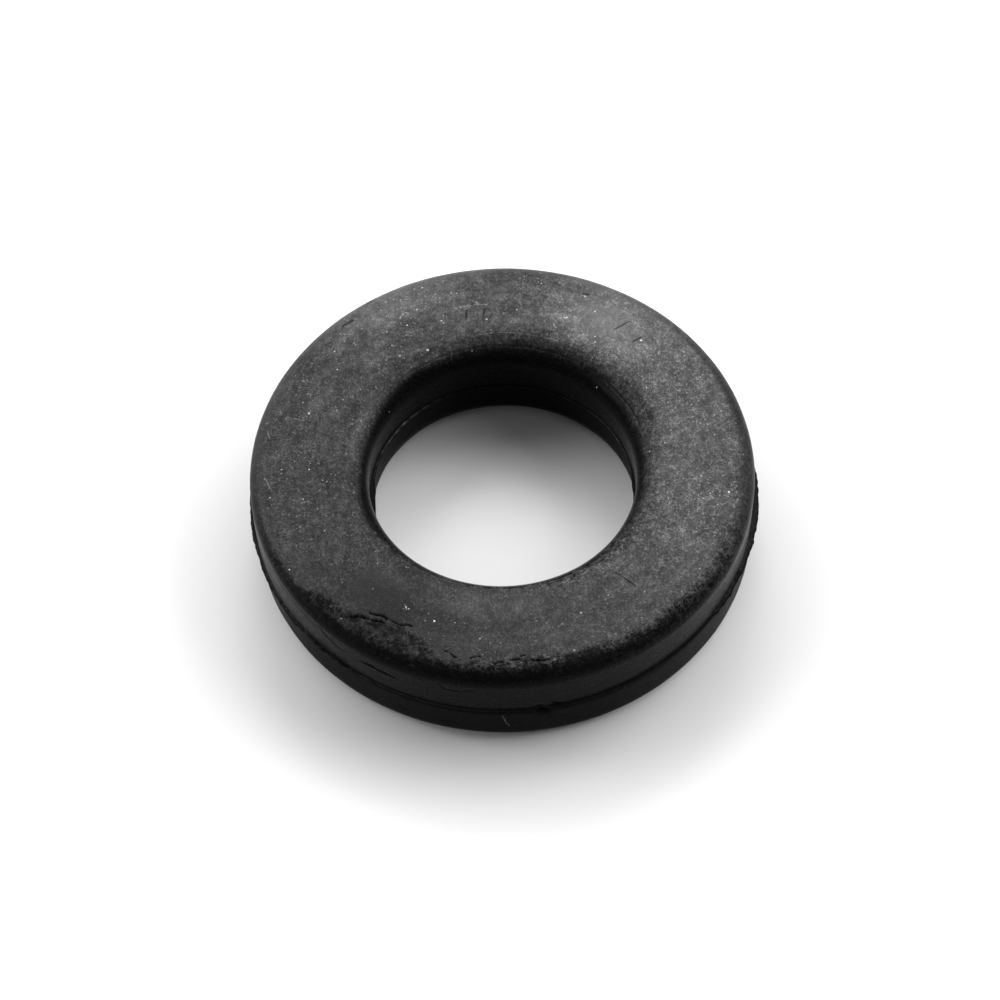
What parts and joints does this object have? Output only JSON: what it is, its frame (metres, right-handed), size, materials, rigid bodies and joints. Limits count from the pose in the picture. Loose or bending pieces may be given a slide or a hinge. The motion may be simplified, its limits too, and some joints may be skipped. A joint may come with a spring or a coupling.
{
  "type": "fork bump stop",
  "caption": "Round moulded rubber ring with flat faces, rounded edges, a smooth bore and a torn moulding flash round its parting line.",
  "frame": {"origin": "on the plane of the lower face, below the centre of the upper half of the moulding", "axes": "+Z along the ring's axis, away from the surface it rests on; +X towards the longer reach of torn flash"},
  "size_m": [0.0265, 0.0261, 0.0058],
  "materials": {
    "rubber": "matte black moulded rubber, slightly chalky on the faces, with fine scratches and pale specks"
  },
  "bodies": {
    "root": {"bump_stop_ring": "rubber"}
  },
  "joints": []
}
